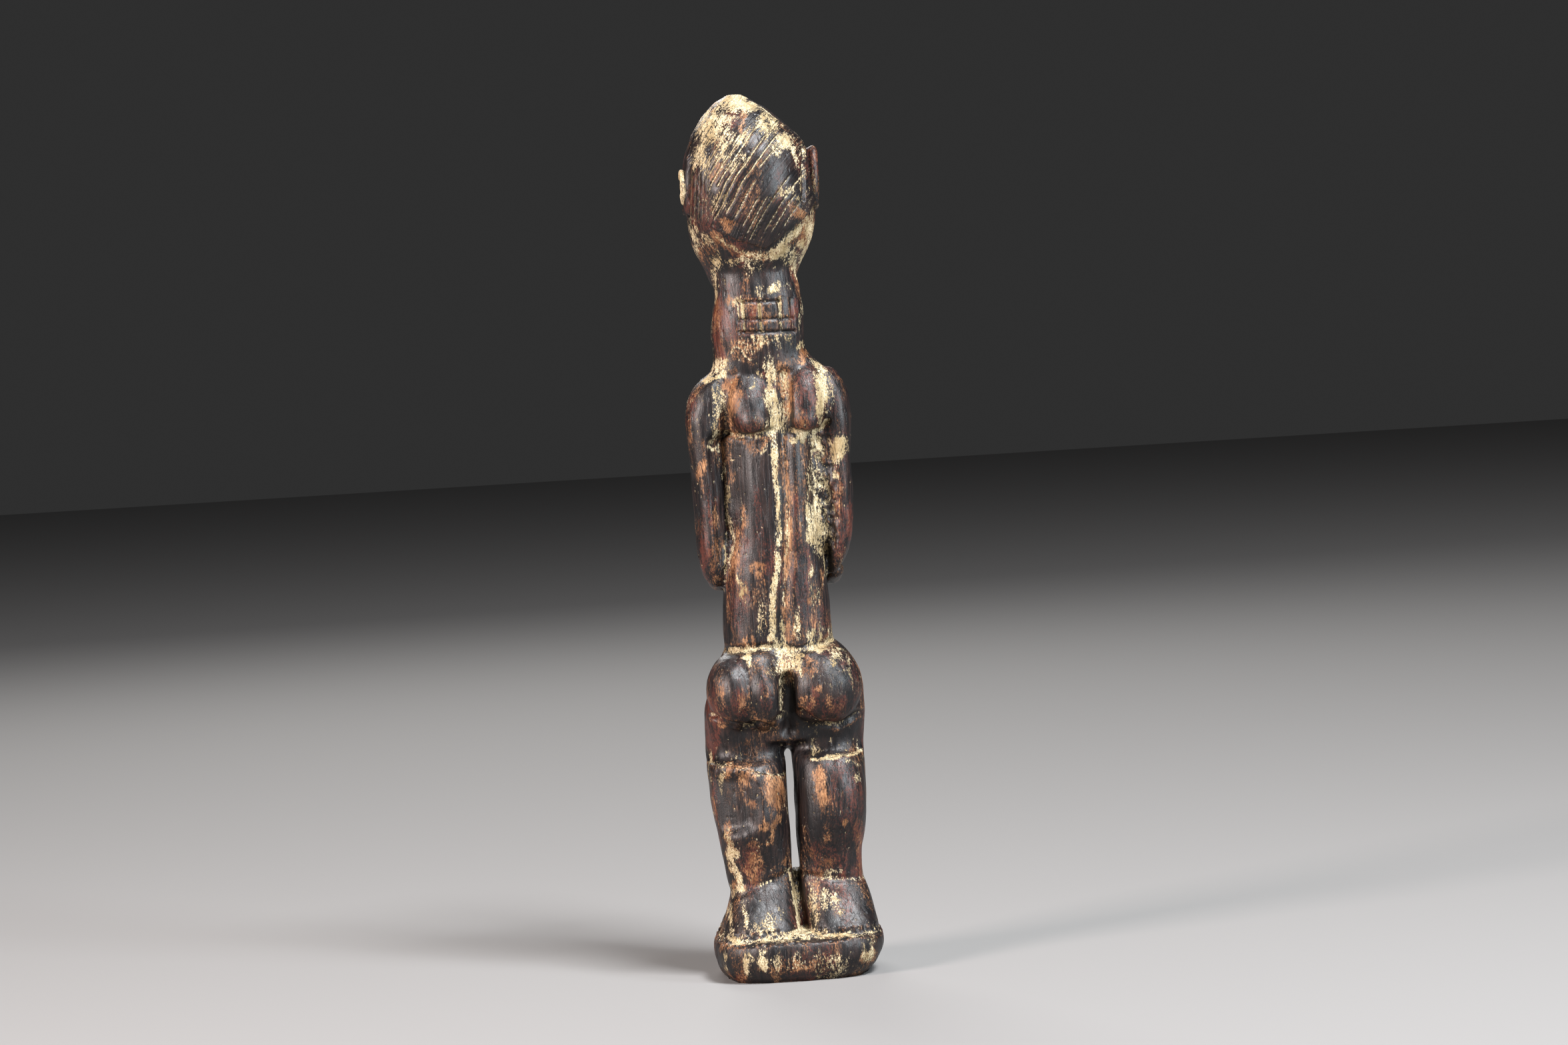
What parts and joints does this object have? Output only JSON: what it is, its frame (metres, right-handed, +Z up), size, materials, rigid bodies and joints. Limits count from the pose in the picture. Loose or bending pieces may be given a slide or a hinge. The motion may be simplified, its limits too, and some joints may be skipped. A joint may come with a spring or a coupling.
{
  "type": "fertility doll",
  "caption": "Carved hardwood standing female figure on a rounded slab, knees bent, hands on the belly, hair combed back in incised lines.",
  "frame": {"origin": "middle of the flat underside of the base", "axes": "+Z up, the figure faces -Y, its left side is +X"},
  "size_m": [0.063, 0.062, 0.3294],
  "materials": {
    "base_wood": "dry, clay-streaked",
    "body_wood": "dark handled patina, semi-gloss, clay in the recesses",
    "head_wood": "dark handled patina, semi-gloss, clay in the recesses",
    "hair_wood": "dark patina with clay-filled incised lines"
  },
  "bodies": {
    "root": {"base": "base_wood", "left_foot": "body_wood", "right_foot": "body_wood", "left_calf": "body_wood", "right_calf": "body_wood", "left_thigh": "body_wood", "right_thigh": "body_wood", "hips": "body_wood", "waist": "body_wood", "chest": "body_wood", "left_arm": "body_wood", "right_arm": "body_wood", "left_forearm": "body_wood", "right_forearm": "body_wood", "neck": "head_wood", "head": "head_wood", "coiffure": "hair_wood", "left_ear": "head_wood", "right_ear": "head_wood"}
  },
  "joints": []
}
